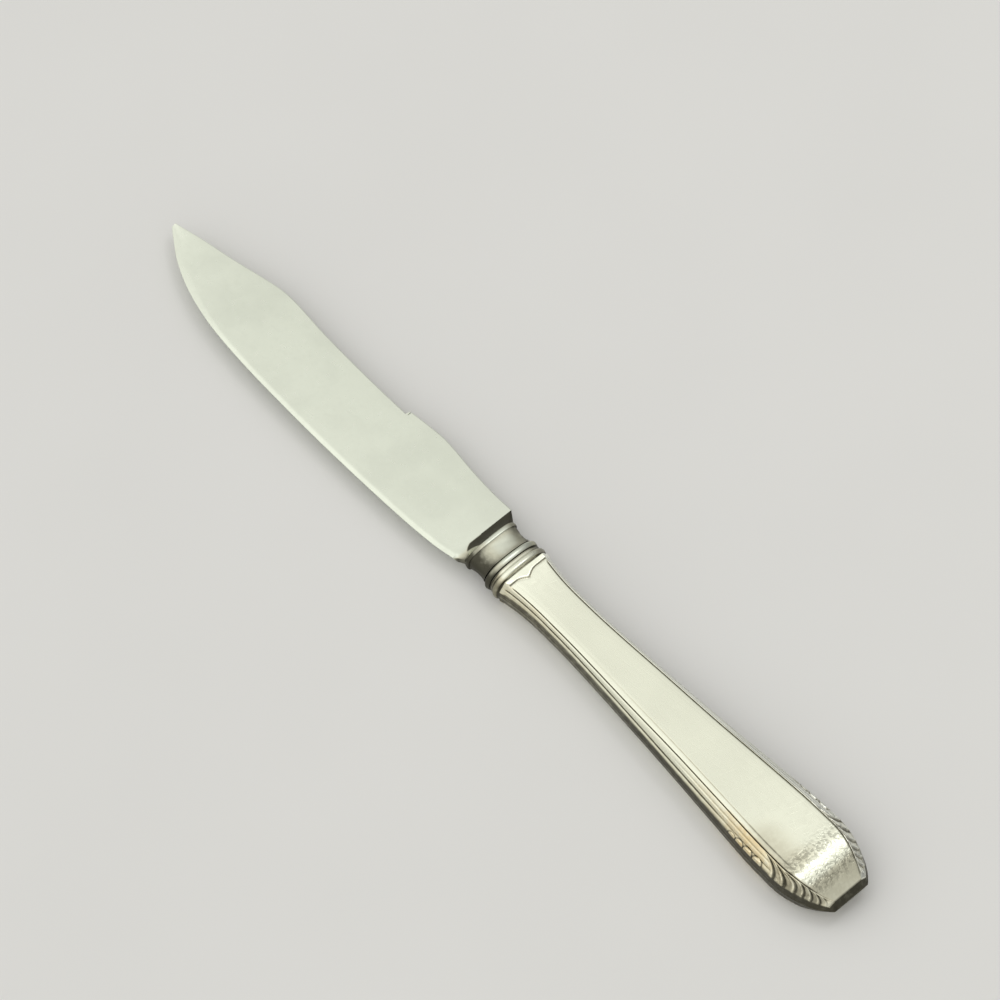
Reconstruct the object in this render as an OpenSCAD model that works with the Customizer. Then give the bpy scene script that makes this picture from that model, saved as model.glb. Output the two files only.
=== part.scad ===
// Fish knife with a hollow handle, lying flat on a table with its face up.
// +X points to the tip, +Y to the cutting edge and +Z up. Lengths are millimetres.
// The origin is on the table, under the middle of the knife's length and on the handle's axis.
// The knife is the same on both faces, and its middle plane holds the edge, the back and the seam.

/* [Blade] */
// Length of the blade, from its tip to its heel
blade_l = 97; // [80:1:120]
// Width of the blade at its belly, from the edge to the back in front of the notch
blade_w = 17; // [14:0.5:19]
// Distance from the handle's axis out to the edge at the belly
belly_out = 9.8; // [8:0.1:10.5]
// Thickness of the back at the heel
back_t = 1.9; // [1.4:0.1:2.4]
// Thickness of the back at the tip
tip_t = 1; // [0.8:0.1:1.4]
// Thickness of the face where the ground edge begins
face_t = 0.9; // [0.7:0.05:1.1]
// Width of the ground edge
grind_w = 0.75; // [0.5:0.05:1.2]
// Thickness left on the edge, on the tip and where two rounded sides meet
edge_flat = 0.16; // [0.12:0.02:0.3]
// Height of the step in the back at the notch
notch_step = 1.05; // [0.6:0.05:1.4]
// Radius of the small round cut at the foot of the step
notch_r = 0.32; // [0.25:0.01:0.4]

/* [Bolster] */
// Length of the bolster, from the heel of the blade to the joint with the handle
bolster_l = 10; // [9:0.1:13]
// Length of the cove that rises from the face of the blade to the rim
cove_l = 2.6; // [2.2:0.1:3]
// Length of the rim
rim_l = 0.95; // [0.8:0.05:1.3]
// Width of the rim
rim_w = 13.2; // [12:0.1:14.5]
// Thickness of the rim
rim_t = 6.3; // [5.5:0.1:7.5]
// Width of the neck at its thinnest
neck_w = 11.8; // [10:0.1:12.5]
// Thickness of the neck at its thinnest
neck_t = 5.7; // [5:0.1:6.5]
// Length of the bead at the end of the bolster
bead_l = 1.6; // [1.2:0.05:2]
// Width over that bead
bead_w = 13.6; // [12.6:0.1:14.5]
// Thickness over that bead
bead_t = 8.4; // [7.5:0.1:9.5]

/* [Tang] */
// Length of the tang inside the handle
tang_l = 42; // [30:1:50]
// Width of the tang at its root
tang_w = 5.4; // [4:0.1:6]
// Width of the tang at its end
tang_end_w = 3.4; // [2.5:0.1:4]
// Thickness of the tang
tang_t = 2.2; // [1.6:0.1:2.6]
// Depth of each nick that keys the tang into the cement
nick_d = 0.5; // [0.3:0.05:0.6]

/* [Handle] */
// Length of the handle, from the joint with the bolster to the butt
handle_l = 98; // [88:1:112]
// Width over the handle's bead
collar_w = 13.8; // [13.4:0.1:15]
// Thickness over the handle's bead
collar_t = 8.9; // [8:0.1:10]
// Width of the handle just behind its collar, where it starts to narrow to the waist
flare_w = 13.2; // [12.6:0.1:13.4]
// Width of the handle at its waist
waist_w = 10.9; // [10:0.1:12.5]
// Thickness of the handle at its waist
waist_t = 6.7; // [6.2:0.1:7.5]
// Width of the handle at its widest
butt_w = 19; // [17:0.1:21]
// Thickness of the handle at its widest
butt_t = 8.9; // [8:0.1:10]
// Width of the straight end of the butt
end_w = 8.8; // [7:0.1:10]
// Thickness of the butt where the end facet stops
end_t = 3.7; // [3:0.1:4.5]
// Set-back of the end facet from the end of the butt
end_set = 1.2; // [0.8:0.1:1.6]
// Thickness of the shells' metal
shell_wall = 0.6; // [0.45:0.05:0.75]

/* [Mouldings] */
// Length of the handle's collar: the flank, its bead and the groove behind it
collar_l = 2.6; // [2.3:0.1:3]
// Depth of the main groove beside the panel
groove_d = 0.3; // [0.2:0.02:0.36]
// Depth of the groove between the two outer reeds
reed_groove_d = 0.16; // [0.1:0.02:0.2]
// Height of the side wall at the waist, from reed to reed
wall_waist_h = 3.5; // [3:0.1:4]
// Height of the side wall at the widest
wall_butt_h = 4.4; // [4:0.1:5]
// Slope of the side wall: how far the seam stands out beyond the reeds
wall_lean = 0.2; // [0.1:0.05:0.3]

/* [Joints] */
// Thickness of the solder between the bolster and the handle
joint_t = 0.25; // [0.2:0.05:0.4]
// Depth of the solder below the beads on its two sides
joint_set = 0.3; // [0.2:0.05:0.4]
// Height of the solder run inside the seam
run_h = 1.4; // [1:0.1:1.6]
// Thickness of the solder run inside the seam
run_t = 0.35; // [0.25:0.05:0.5]
// Length of the cement in the handle
cement_l = 47; // [44:1:56]
// Clearance between a filling and the metal around it
fill_gap = 0.06; // [0.04:0.01:0.1]

/* [Hidden] */

knife_l = blade_l + bolster_l + handle_l;
joint_x = handle_l - knife_l / 2;
mid_z = max(collar_t, butt_t) / 2;
overrun = 0.2;

// General curves
function mix(a, b, t) = a + (b - a) * t;
function limit(t) = max(0, min(1, t));
function ease(t) = (1 - cos(180 * limit(t))) / 2;
function oval(t, power) = pow(max(0, 1 - pow(abs(t), power)), 1 / power);

// The slope at knot i of the smooth curve through the knots [x, y], and the curve's height at x
function knot_slope(knots, i) =
    let (a = max(0, i - 1), b = min(len(knots) - 1, i + 1))
    (knots[b].y - knots[a].y) / (knots[b].x - knots[a].x);
function knot_before(knots, x) = max([0, for (i = [0:len(knots) - 2]) if (knots[i].x <= x) i]);
function curve(knots, x) =
    let (
        i = knot_before(knots, x),
        span = knots[i + 1].x - knots[i].x,
        t = limit((x - knots[i].x) / span),
        lift = knots[i + 1].y - knots[i].y
    )
    knots[i].y + lift * t * t * (3 - 2 * t)
        + span * t * (1 - t) * ((1 - t) * knot_slope(knots, i) - t * knot_slope(knots, i + 1));

// A line of points on one side of the axis, followed by the same on the other side, back to front
function there_and_back(line) = concat(line, [for (i = [len(line) - 1:-1:0]) [line[i].x, -line[i].y]]);

// A closed solid over rings of points, all of the same number, in the order of their first coordinate
module skin(rings) {
    n = len(rings[0]);
    last = (len(rings) - 1) * n;
    sides = [
        for (i = [0:len(rings) - 2], j = [0:n - 1])
            let (a = i * n + j, b = i * n + (j + 1) % n)
            each [[a, b, b + n], [a, b + n, a + n]]
    ];
    ends = [[for (j = [0:n - 1]) n - 1 - j], [for (j = [0:n - 1]) last + j]];
    polyhedron(points = [for (ring = rings) each ring], faces = concat(sides, ends), convexity = 6);
}

// Blade outline. Distances run from the heel towards the tip as shares of the blade's length,
// and heights over the handle's axis are shares of the blade's width, back positive.
front_back_shares = [[0.318, 0.43], [0.45, 0.422], [0.58, 0.437], [0.68, 0.471], [0.72, 0.464],
                     [0.76, 0.42], [0.85, 0.296], [0.93, 0.2], [1, 0.085]];
rear_back_shares = [[0, 0.482], [0.05, 0.474], [0.12, 0.492], [0.215, 0.539], [0.27, 0.517], [0.318, 0.485]];
edge_shares = [[0, 0.815], [0.05, 0.885], [0.15, 0.945], [0.35, 1], [0.5, 1], [0.65, 0.96],
               [0.77, 0.85], [0.86, 0.64], [0.93, 0.35], [0.975, 0.07], [1, -0.1]];
notch_place_share = 0.318;
notch_x = blade_l * notch_place_share;
back_base = blade_w - belly_out;

function back_y(b) =
    let (
        share = b / blade_l,
        front = curve(front_back_shares, share) - front_back_shares[0].y,
        rear = curve(rear_back_shares, share) - rear_back_shares[5].y
    )
    b > notch_x ? back_base + front * blade_w : back_base + rear * blade_w + notch_step;
function edge_y(b) = belly_out * curve(edge_shares, b / blade_l);

// One ring of the forging: points across the upper face from the back to the edge, then back below.
ring_steps = 12;
function across(i) = (1 - cos(180 * i / ring_steps)) / 2;
function two_faced(x, upper) = concat(
    [for (p = upper) [x, p.x, p.y]],
    [for (i = [len(upper) - 1:-1:0]) [x, upper[i].x, -upper[i].y]]
);

// Half the thickness across the face of the blade, from the back (0) to the start of the ground edge (1)
function face_half(b, t) =
    let (thin = b / blade_l)
    mix(mix(back_t, tip_t, thin), mix(face_t, face_t * tip_t / back_t, thin), t * sqrt(t)) / 2;
function blade_ring(b) =
    let (
        back = -back_y(b),
        edge = max(edge_y(b), back + edge_flat),
        grind = min(grind_w, (edge - back) / 3)
    )
    two_faced(b, concat(
        [for (i = [0:ring_steps - 1]) let (t = across(i) / across(ring_steps - 1))
            [mix(back, edge - grind, t), face_half(b, t)]],
        [[edge, edge_flat / 2]]
    ));

// Bolster sections: [place behind the heel, half thickness, reach to the back, reach to the edge, squareness]
rim_x = cove_l;
rim_end_x = cove_l + rim_l;
bead_x = bolster_l - joint_t - bead_l;
rim_drop = (rim_t - neck_t) / 2;
rim_power = 3.2;
neck_power = 2.5;
heel_power = 9;
function bead_arc(t) = sqrt(max(0, 1 - pow(2 * t - 1, 2)));
function bolster_row(x, thick, width, power) = [x, thick / 2, width / 2, width / 2, power];
cove_sag_share = 0.12;
cove_rows = [
    for (t = [0.02, 0.15, 0.35, 0.55, 0.75, 0.92])
        let (rise = t - cove_sag_share * sin(180 * t))
        [
            t * cove_l,
            mix(back_t, rim_t, rise) / 2,
            mix(back_y(0), rim_w / 2, t),
            mix(edge_y(0), rim_w / 2, t),
            mix(heel_power, rim_power, t)
        ]
];
rim_rows = [
    for (t = [0.08, 0.3, 0.6, 0.9])
        let (round = rim_drop * (1 - bead_arc(t)))
        bolster_row(rim_x + t * rim_l, rim_t - round, rim_w - round, rim_power)
];
neck_rows = [
    for (t = [0.06, 0.2, 0.35, 0.5, 0.65, 0.8, 0.93])
        let (
            x = mix(rim_end_x, bead_x, t),
            from_rim = pow(1 - t, 3) / 2,
            to_bead = pow(t, 4) / 2
        )
        bolster_row(
            x,
            neck_t + from_rim * (rim_t - neck_t) + to_bead * (bead_t - neck_t),
            neck_w + from_rim * (rim_w - neck_w) + to_bead * (bead_w - neck_w),
            mix(rim_power, neck_power, ease(2 * t))
        )
];
bead_rows = [
    for (t = [0, 0.06, 0.2, 0.4, 0.6, 0.8, 0.94, 1])
        let (round = mix(bead_t - neck_t, joint_set * 2, t) * (1 - bead_arc(t)) / 2)
        bolster_row(bead_x + t * bead_l, bead_t - round * 2, bead_w - round * 2, neck_power)
];
function bolster_ring(row) = two_faced(-row[0], [
    for (i = [0:ring_steps])
        let (t = 2 * across(i) - 1, reach = t < 0 ? row[2] : row[3])
        [reach * t, max(edge_flat / 2, row[1] * oval(t, row[4]))]
]);

blade_places = [
    blade_l, blade_l * 0.998, blade_l * 0.993, blade_l * 0.984, blade_l * 0.972,
    for (i = [1:14]) mix(blade_l * 0.972, blade_l * 0.7, i / 14),
    for (i = [1:12]) mix(blade_l * 0.7, notch_x + notch_r, i / 12),
    notch_x + edge_flat, notch_x,
    for (i = [1:11]) mix(notch_x, 0, i / 11)
];

// Places the forging: its own zero is the heel of the blade, on the middle plane
module at_heel() {
    translate([joint_x + bolster_l, 0, mid_z]) children();
}

// Places the handle's pieces: they run from the joint towards the butt, on the middle plane
module at_joint() {
    translate([joint_x, 0, mid_z]) mirror([1, 0, 0]) children();
}

// Blade, bolster and tang, forged in one
module blade() {
    rows = concat(cove_rows, rim_rows, neck_rows, bead_rows);
    rings = concat(
        [for (i = [len(rows) - 1:-1:0]) bolster_ring(rows[i])],
        [for (i = [len(blade_places) - 1:-1:0]) blade_ring(blade_places[i])]
    );
    color("lightgray") {
        difference() {
            at_heel() skin(rings);
            at_heel() translate([notch_x + notch_r / 2, -back_base - notch_r / 4, -back_t])
                cylinder(r = notch_r, h = back_t * 2, $fn = 24);
        }
        at_joint() tang();
    }
}

// The tang tapers to its end and has a row of nicks in both edges
nick_shares = [0.35, 0.55, 0.75];
tang_root = bead_l / 2;
function tang_half(x) = mix(tang_w, tang_end_w, limit(x / tang_l)) / 2;
module tang(grow = 0) {
    near = -joint_t - tang_root;
    nicks = [
        for (share = nick_shares)
            let (x = share * tang_l, y = tang_half(x))
            each [[x - nick_d, y], [x, y - nick_d], [x + nick_d, y]]
    ];
    side = [
        [near, tang_half(0) + grow],
        each grow > 0 ? [] : nicks,
        [tang_l + grow, tang_half(tang_l) + grow]
    ];
    translate([0, 0, -tang_t / 2 - grow])
        linear_extrude(tang_t + 2 * grow)
            polygon(there_and_back(side));
}

// Plan of the handle: half its width over the seam, at distance s from the joint
waist_place_share = 0.145;
widest_place_share = 0.862;
waist_s = waist_place_share * handle_l;
widest_s = widest_place_share * handle_l;
swell_shares = [[0, 0], [0.1, 0.025], [0.22, 0.125], [0.48, 0.41], [0.76, 0.78], [0.9, 0.955], [1, 1]];
crown_share = 0.885;
crown_l = handle_l - widest_s;
crown_reach = crown_l / crown_share;
crown_drop = 1 - oval(crown_share, 2);
function crown_y(s) =
    butt_w / 2 - (butt_w - end_w) / 2 * (1 - oval((s - widest_s) / crown_reach, 2)) / crown_drop;
flare_power = 2.2;
function flare_y(s) = mix(waist_w, flare_w, pow((waist_s - s) / (waist_s - collar_l), flare_power)) / 2;
function seam_y(s) =
    s < waist_s ? flare_y(max(s, collar_l))
    : s > widest_s ? crown_y(min(s, handle_l))
    : mix(waist_w, butt_w, curve(swell_shares, (s - waist_s) / (widest_s - waist_s))) / 2;

// Side view of the handle: half its thickness over the panel
low_share = 0.18;
level_share = 0.8;
bend_share = 0.872;
facet_share = 0.93;
low_s = low_share * handle_l;
level_s = level_share * handle_l;
bend_s = bend_share * handle_l;
facet_s = facet_share * handle_l;
stop_s = handle_l - end_set;
facet_slope = (butt_t - end_t) / 2 / (stop_s - (bend_s + facet_s) / 2);
function facet_z(s) =
    s > facet_s ? end_t / 2 + (stop_s - s) * facet_slope
    : butt_t / 2 - facet_slope * pow(max(0, s - bend_s), 2) / (facet_s - bend_s) / 2;
function tip_z(s) = mix(end_t / 2, edge_flat, limit((s - stop_s) / end_set));
function panel_z(s) =
    s < low_s ? mix(waist_t, collar_t - groove_d * 2, pow((low_s - s) / (low_s - collar_l), flare_power)) / 2
    : s < level_s ? mix(waist_t, butt_t, ease((s - low_s) / (level_s - low_s))) / 2
    : s < stop_s ? facet_z(s)
    : tip_z(s);

// Half the height of the side wall, which grows towards the butt and stays under its share of the side
wall_rise_share = 0.55;
wall_grown_share = 0.85;
wall_top_share = 0.62;
function wall_growth(s) = ease((s / handle_l - wall_rise_share) / (wall_grown_share - wall_rise_share));
function wall_z(s) = min(mix(wall_waist_h, wall_butt_h, wall_growth(s)) / 2, panel_z(s) * wall_top_share);

// Across one side of a shell: shares of the way from the panel's middle line to the top of the side wall,
// and shares of the way down from the panel to that wall. Reeds stand between the grooves.
crease_share = 0.62;
groove_share = 0.75;
reed_share = 0.68;
reed_skew = 0.7;
reed_sink_share = 0.4;
function reed_low(t) = t < groove_share ? 0 : (t - groove_share) / (1 - groove_share);
function wide_reed(low) = reed_groove_d * sin(180 * pow(low / reed_share, reed_skew));
function thin_reed(low) =
    reed_groove_d * (sin(180 * (low - reed_share) / (1 - reed_share)) - reed_sink_share);
function reed_rise(t, s) =
    let (deep = groove_d * limit(panel_z(s) / waist_t * 2), low = reed_low(t))
    t <= crease_share || t == 1 ? 0
    : t < groove_share ? -deep * pow((t - crease_share) / (groove_share - crease_share), 3)
    : low < reed_share ? wide_reed(low) - deep * pow(1 - low / reed_share, 4)
    : thin_reed(low);
side_shares = [
    1, 0.975, 0.945, 0.925, 0.905, 0.875, 0.84, 0.81, 0.785, 0.76, 0.75, 0.74, 0.715, 0.685, 0.62
];

function top_y(s) = seam_y(s) - wall_lean - limit((s - bend_s) / (handle_l - bend_s)) * end_set / 2;
function side_point(s, t) = [top_y(s) * t, mix(panel_z(s), wall_z(s), reed_low(t)) + reed_rise(t, s)];

// The collar's sections: [distance from the joint, width, thickness]
function collar_row(share, drop) = [collar_l * share, collar_w / 2 - drop, collar_t / 2 - drop];
ring_share = 0.35;
ring_end_share = 0.8;
ring_drop = groove_d * 1.2;
collar_rows = [
    collar_row(0, joint_set * 1.4),
    collar_row(ring_share * 0.9, groove_d * 0.9),
    for (t = [0.05, 0.2, 0.5, 0.8, 0.95])
        collar_row(mix(ring_share, ring_end_share, t), ring_drop * (1 - bead_arc(t))),
    collar_row(ring_end_share * 1.05, groove_d * 1.4),
    collar_row(ring_end_share * 1.12, groove_d * 1.4)
];

// Half a shell's outer line at s, from the seam on the back's side over the panel to the other seam
function outer_half(s) = [[seam_y(s), 0], for (t = side_shares) side_point(s, t)];
side_n = len(side_shares);
function collar_half(row) = [
    [row[1], 0],
    for (i = [0:side_n - 1])
        let (t = cos(90 * (i + 0.5) / side_n))
        [row[1] * t, max(edge_flat / 2, row[2] * oval(t, neck_power))]
];
function full(half) = concat([for (p = half) [-p.x, p.y]], [for (i = [len(half) - 1:-1:0]) half[i]]);

// The cavity's line, from the seam in and over: plain, inside the grooves by the thickness of the metal.
// Shares of its half width and half height.
cavity_shares = [[1, 0], [0.99, 0.55], [0.93, 0.75], [0.78, 0.93], [0.6, 1]];
mouth_wall = shell_wall * 2;
mouth_s = collar_l * 2;
cavity_end_s = stop_s - end_set * 2;
function cavity_w(s) =
    seam_y(max(s, mouth_s)) - mix(mouth_wall, shell_wall + wall_lean, limit(s / mouth_s / 2));
function cavity_t(s) = panel_z(max(s, mouth_s)) - shell_wall - groove_d;
function cavity_half(s, gap = 0) =
    [for (p = cavity_shares) [(cavity_w(s) - gap) * p.x, (cavity_t(s) - gap) * p.y]];
function both_faces(line) =
    concat(line, [for (i = [len(line) - 1:-1:0]) if (line[i].y > 0) [line[i].x, -line[i].y]]);
function cavity_ring(s, gap = 0) = at(s, both_faces(full(cavity_half(s, gap))));

function at(x, line) = [for (p = line) [x, p.x, p.y]];
handle_places = [
    for (t = [1, 1.3, 1.8, 2.5]) collar_l * t,
    for (i = [1:4]) mix(collar_l * 2.5, low_s, i / 4),
    for (i = [1:10]) mix(low_s, level_s, i / 10),
    for (i = [1:3]) mix(level_s, bend_s, i / 3),
    for (i = [1:5]) mix(bend_s, facet_s, i / 5),
    for (i = [1:6]) mix(facet_s, stop_s, i / 6),
    mix(stop_s, handle_l, 0.5), handle_l
];
cavity_places = [
    for (t = [0, 1, 1.5]) mouth_s * t,
    for (i = [1:3]) mix(mouth_s * 1.5, low_s, i / 3),
    for (i = [1:8]) mix(low_s, level_s, i / 8),
    for (i = [1:2]) mix(level_s, bend_s, i / 2),
    for (i = [1:4]) mix(bend_s, cavity_end_s, i / 4)
];

// One stamped half of the handle, above the seam
module half_shell() {
    difference() {
        skin(concat(
            [for (row = collar_rows) at(row[0], full(collar_half(row)))],
            [for (s = handle_places) at(s, full(outer_half(s)))]
        ));
        skin(concat([cavity_ring(-overrun)], [for (s = cavity_places) cavity_ring(s)]));
    }
}

module upper_handle_shell() {
    color("gainsboro") at_joint() half_shell();
}

module lower_handle_shell() {
    color("gainsboro") at_joint() mirror([0, 0, 1]) half_shell();
}

// Ring of soft solder that closes the joint between the bolster and the handle
function oval_line(half_w, half_t) = [
    for (i = [0:47]) let (c = cos(7.5 * i), s = sin(7.5 * i))
        [half_w * sign(c) * pow(abs(c), 2 / neck_power), half_t * sign(s) * pow(abs(s), 2 / neck_power)]
];
module joint_solder() {
    outer_w = min(bead_w, collar_w) / 2 - joint_set * 2;
    outer_t = min(bead_t, collar_t) / 2 - joint_set * 2;
    color("darkgray") at_joint() rotate([0, -90, 0]) rotate([0, 0, 90])
        linear_extrude(joint_t)
            difference() {
                polygon(oval_line(outer_w, outer_t));
                polygon(oval_line(cavity_w(0), cavity_t(0)));
            }
}

// Hard solder run along the inside of the seam, from the mouth round the butt and back
run_seat_share = 0.985;
run_end_s = cavity_end_s - fill_gap;
run_places = [for (i = [0:40]) mix(collar_l, run_end_s, i / 40)];
function run_y(s) = cavity_w(s) * run_seat_share - fill_gap;
function run_line(inset) = [for (s = run_places) [min(s, run_end_s - inset), run_y(s) - inset]];
module seam_solder() {
    inside = there_and_back(run_line(run_t));
    color("silver") at_joint() translate([0, 0, -run_h / 2]) linear_extrude(run_h)
        polygon(concat(there_and_back(run_line(0)), [for (i = [len(inside) - 1:-1:0]) inside[i]]));
}

// Cement that beds the tang in the front of the handle, with a channel on each side for the seam's solder
function cement_half(s) =
    let (high = run_h / 2 + fill_gap, wide = run_y(s) - run_t - fill_gap)
    concat([[wide, high]], [for (p = cavity_half(s, fill_gap)) if (p.y > high) p]);
cement_places = [for (i = [0:12]) mix(fill_gap, cement_l, i / 12)];
module handle_cement() {
    color("tan") difference() {
        at_joint() skin([for (s = cement_places) at(s, both_faces(full(cement_half(s))))]);
        at_joint() tang(fill_gap);
    }
}

blade();
upper_handle_shell();
lower_handle_shell();
joint_solder();
seam_solder();
handle_cement();
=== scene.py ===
"""Fish knife with a hollow handle: worked pieces, finishes and a studio over the frame."""
import math

import bmesh
import bpy
import numpy as np
from mathutils import Matrix, Vector


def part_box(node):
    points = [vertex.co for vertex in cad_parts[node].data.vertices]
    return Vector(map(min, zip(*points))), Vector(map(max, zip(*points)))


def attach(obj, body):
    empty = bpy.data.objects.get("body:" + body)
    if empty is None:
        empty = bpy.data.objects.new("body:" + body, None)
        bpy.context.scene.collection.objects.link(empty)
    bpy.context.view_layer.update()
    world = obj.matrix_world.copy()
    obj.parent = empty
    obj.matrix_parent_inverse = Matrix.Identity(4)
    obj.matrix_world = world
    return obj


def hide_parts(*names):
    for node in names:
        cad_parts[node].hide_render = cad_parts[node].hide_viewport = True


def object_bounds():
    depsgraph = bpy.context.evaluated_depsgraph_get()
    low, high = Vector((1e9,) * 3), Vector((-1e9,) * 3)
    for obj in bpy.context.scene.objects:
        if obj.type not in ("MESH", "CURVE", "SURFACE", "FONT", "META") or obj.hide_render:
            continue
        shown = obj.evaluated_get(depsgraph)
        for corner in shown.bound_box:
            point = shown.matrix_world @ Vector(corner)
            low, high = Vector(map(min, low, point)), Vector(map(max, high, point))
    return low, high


bl_info = {
    "name": "Fish Knife",
    "version": (1, 0, 0),
    "blender": (4, 5, 0),
    "location": "View3D > Sidebar > Fish Knife",
    "description": "Builds a silver-plated fish knife with a hollow, reeded handle",
    "category": "Add Mesh",
}

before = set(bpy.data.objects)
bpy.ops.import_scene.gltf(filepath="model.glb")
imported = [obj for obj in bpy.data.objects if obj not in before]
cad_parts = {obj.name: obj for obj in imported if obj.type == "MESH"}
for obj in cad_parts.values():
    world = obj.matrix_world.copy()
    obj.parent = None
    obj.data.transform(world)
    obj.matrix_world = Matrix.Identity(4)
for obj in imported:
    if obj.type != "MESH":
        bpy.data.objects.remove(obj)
CAD_BOUNDS = [list(map(float, corner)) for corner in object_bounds()]
MM = 0.001
BODY = "root"


def length_mm(node, axis):
    """The size of a solid of the frame along an axis, in millimetres."""
    low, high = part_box(node)
    return (high[axis] - low[axis]) / MM


def length(label, description, default_mm):
    """A length that a user can set, kept in metres and given here in millimetres."""
    return bpy.props.FloatProperty(
        name=label, description=description,
        default=default_mm * MM, min=0, unit="LENGTH", precision=5,
    )


def linear(value):
    """An sRGB hex colour as linear red, green and blue."""
    parts = [((value >> shift) & 255) / 255 for shift in (16, 8, 0)]
    return tuple(c / 12.92 if c <= 0.04045 else ((c + 0.055) / 1.055) ** 2.4 for c in parts)


def colour(label, description, value):
    """A colour that a user can set, given as an sRGB hex value."""
    return bpy.props.FloatVectorProperty(
        name=label, description=description,
        default=linear(value), size=3, min=0, max=1, subtype="COLOR",
    )


class FishKnifeBladeSizes(bpy.types.PropertyGroup):
    """Sizes of the blade, its bolster and its tang"""

    blade_w: length("Blade width", "Width in front of the notch, from the edge to the back", 17)
    belly_out: length("Belly", "Distance from the handle's axis out to the edge", 9.8)
    back_t: length("Back at the heel", "Thickness of the back at the heel", 1.9)
    tip_t: length("Back at the tip", "Thickness of the back at the tip", 1)
    face_t: length("Face", "Thickness where the ground edge begins", 0.9)
    grind_w: length("Ground edge", "Width of the ground edge", 0.75)
    edge_flat: length("Edge flat", "Thickness left on the edge", 0.16)
    notch_step: length("Notch step", "Height of the step in the back at the notch", 1.05)
    bolster_l: length("Bolster", "Length from the heel to the joint with the handle", 10)
    cove_l: length("Cove", "Length of the cove that rises from the blade to the rim", 2.6)
    rim_l: length("Rim length", "Length of the rim", 0.95)
    rim_w: length("Rim width", "Width of the rim", 13.2)
    rim_t: length("Rim thickness", "Thickness of the rim", 6.3)
    neck_w: length("Neck width", "Width of the neck at its thinnest", 11.8)
    neck_t: length("Neck thickness", "Thickness of the neck at its thinnest", 5.7)
    bead_l: length("Bead length", "Length of the bead at the end of the bolster", 1.6)
    bead_w: length("Bead width", "Width over that bead", 13.6)
    bead_t: length("Bead thickness", "Thickness over that bead", 8.4)
    tang_l: length("Tang length", "Length of the tang inside the handle", 42)
    tang_w: length("Tang width", "Width of the tang at its root", 5.4)
    tang_end_w: length("Tang end", "Width of the tang at its end", 3.4)
    tang_t: length("Tang thickness", "Thickness of the tang", 2.2)
    nick_d: length("Nicks", "Depth of each nick that keys the tang into the cement", 0.5)


class FishKnifeHandleSizes(bpy.types.PropertyGroup):
    """Sizes of the handle's two shells and their mouldings"""

    collar_w: length("Collar width", "Width over the handle's bead", 13.8)
    collar_t: length("Collar thickness", "Thickness over the handle's bead", 8.9)
    collar_l: length("Collar length", "Length of the flank, the bead and the groove behind it", 2.6)
    flare_w: length("Flare", "Width just behind the collar", 13.2)
    waist_w: length("Waist width", "Width at the waist", 10.9)
    waist_t: length("Waist thickness", "Thickness at the waist", 6.7)
    butt_w: length("Butt width", "Width at the widest", 19)
    butt_t: length("Butt thickness", "Thickness at the widest", 8.9)
    end_w: length("End width", "Width of the straight end of the butt", 8.8)
    end_t: length("End thickness", "Thickness where the end facet stops", 3.7)
    end_set: length("End set-back", "Set-back of the end facet from the end of the butt", 1.2)
    shell_wall: length("Shell", "Thickness of the shells' metal", 0.6)
    border_h: length("Border", "Height of the bracketed border behind the collar", 0.14)
    groove_d: length("Main groove", "Depth of the main groove beside the panel", 0.3)
    crease_l: length("Crease", "Distance of the crease in the panel from the main groove", 1.2)
    band_d: length("Worn band", "How far the panel is worn down beside the main groove", 0.18)
    reed_h: length("Reeds", "Height of the upper reeds", 0.16)
    low_reed_h: length("Lower reed", "Height of the reed beside the wall", 0.08)
    reed_groove_d: length("Reed grooves", "Depth of the grooves between the reeds", 0.2)
    moat_d: length("Arch outlines", "Depth of the outlines of the arches", 0.09)
    lobe_h: length("Lobes", "Height of the carved lobes at the butt", 0.34)
    wall_waist_h: length("Wall at the waist", "Height of the side wall at the waist", 3.5)
    wall_butt_h: length("Wall at the butt", "Height of the side wall at the widest", 4.4)
    wall_lean: length("Wall lean", "How far the seam stands out beyond the reeds", 0.2)
    joint_set: length("Joint depth", "Depth of the joint below the beads on its two sides", 0.3)


class FishKnifeFinishes(bpy.types.PropertyGroup):
    """Colours of the plate, the tarnish and painted shade, the painted sheen, the fillings and the
    floor
    """

    blade_plate: colour("Blade plate", "Silver plate of the blade, worn to a satin", 0xDDE2D3)
    handle_plate: colour("Handle plate", "Silver plate of the handle", 0xEAECD9)
    # this brown-grey is also the colour of the painted shade on the walls, the cove and the sides
    tarnish: colour("Tarnish", "Brown-grey tarnish that stays in grooves", 0x3B392F)
    amber: colour("Amber tarnish", "Thin yellow tarnish beside the grooves", 0xC4BC9E)
    # a painted sheen that lightens the back's side of the handle
    wiped: colour("Wiped plate", "Plate that stays bright on the back's side", 0xF1F3E9)
    yellow: colour("Yellowing", "Yellowed plate on the reeds before the lobes", 0xD6BA80)
    solder: colour("Solder", "Dull grey solder", 0x8A897F)
    cement: colour("Cement", "Resin and brick-dust cement", 0x8C6B4A)
    floor: colour("Floor", "Plain pale floor", 0xE6E6E3)


# The blade's outline as smooth curves: share of its length from the heel, and share of a width.
# For the back that is the blade's width, in front of the notch and behind it
FRONT_BACK_SHARES = [
    (0.318, 0.43), (0.45, 0.422), (0.58, 0.437), (0.68, 0.471), (0.72, 0.464),
    (0.76, 0.422), (0.85, 0.305), (0.93, 0.216), (1, 0.122),
]
REAR_BACK_SHARES = [
    (0, 0.482), (0.05, 0.474), (0.12, 0.492), (0.215, 0.539), (0.27, 0.517), (0.318, 0.485),
]
# For the cutting edge it is the distance of the belly from the axis
EDGE_SHARES = [
    (0, 0.775), (0.05, 0.862), (0.15, 0.94), (0.35, 1), (0.5, 1), (0.65, 0.96),
    (0.77, 0.85), (0.86, 0.64), (0.93, 0.35), (0.975, 0.07), (1, -0.1),
]
NOTCH_SHARE = 0.318

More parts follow.
